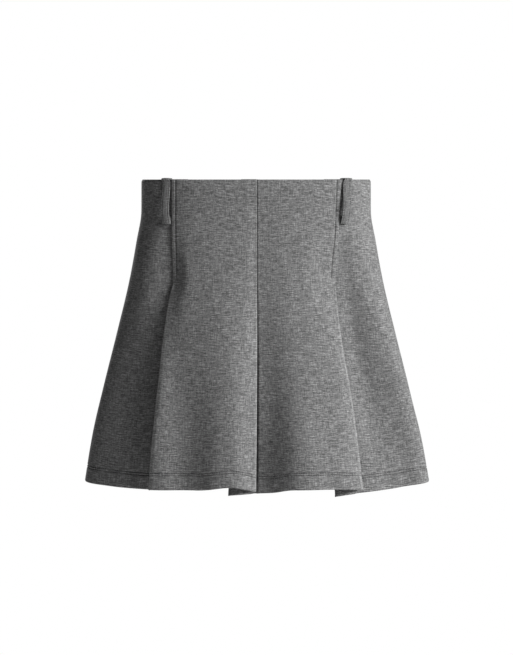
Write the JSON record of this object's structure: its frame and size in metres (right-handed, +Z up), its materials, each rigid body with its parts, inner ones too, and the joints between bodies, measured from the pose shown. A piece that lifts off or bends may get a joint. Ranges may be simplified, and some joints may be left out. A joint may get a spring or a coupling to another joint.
{
  "type": "pleated mini skirt",
  "caption": "Flared mini skirt in grey melange double jersey, hollow as when worn, with pressed pleats sewn down at the top and narrow belt loops on the waist edge.",
  "frame": {"origin": "middle of the waist opening, level with its edge", "axes": "+Z up out of the waist opening, -Y to the front, +X to the right as seen from the front"},
  "size_m": [0.4467, 0.2366, 0.4079],
  "materials": {
    "panel_cloth": "grey melange double jersey, soft and dull, with fine horizontal streaks",
    "loop_cloth": "the same jersey, folded and pressed"
  },
  "bodies": {
    "root": {"front_centre_left": "panel_cloth", "front_centre_right": "panel_cloth", "front_side_left": "panel_cloth", "front_side_right": "panel_cloth", "back_side_left": "panel_cloth", "back_side_right": "panel_cloth", "back_centre_left": "panel_cloth", "back_centre_right": "panel_cloth", "loop_front_left": "loop_cloth", "loop_front_right": "loop_cloth", "loop_back_left": "loop_cloth", "loop_back_right": "loop_cloth"}
  },
  "joints": []
}
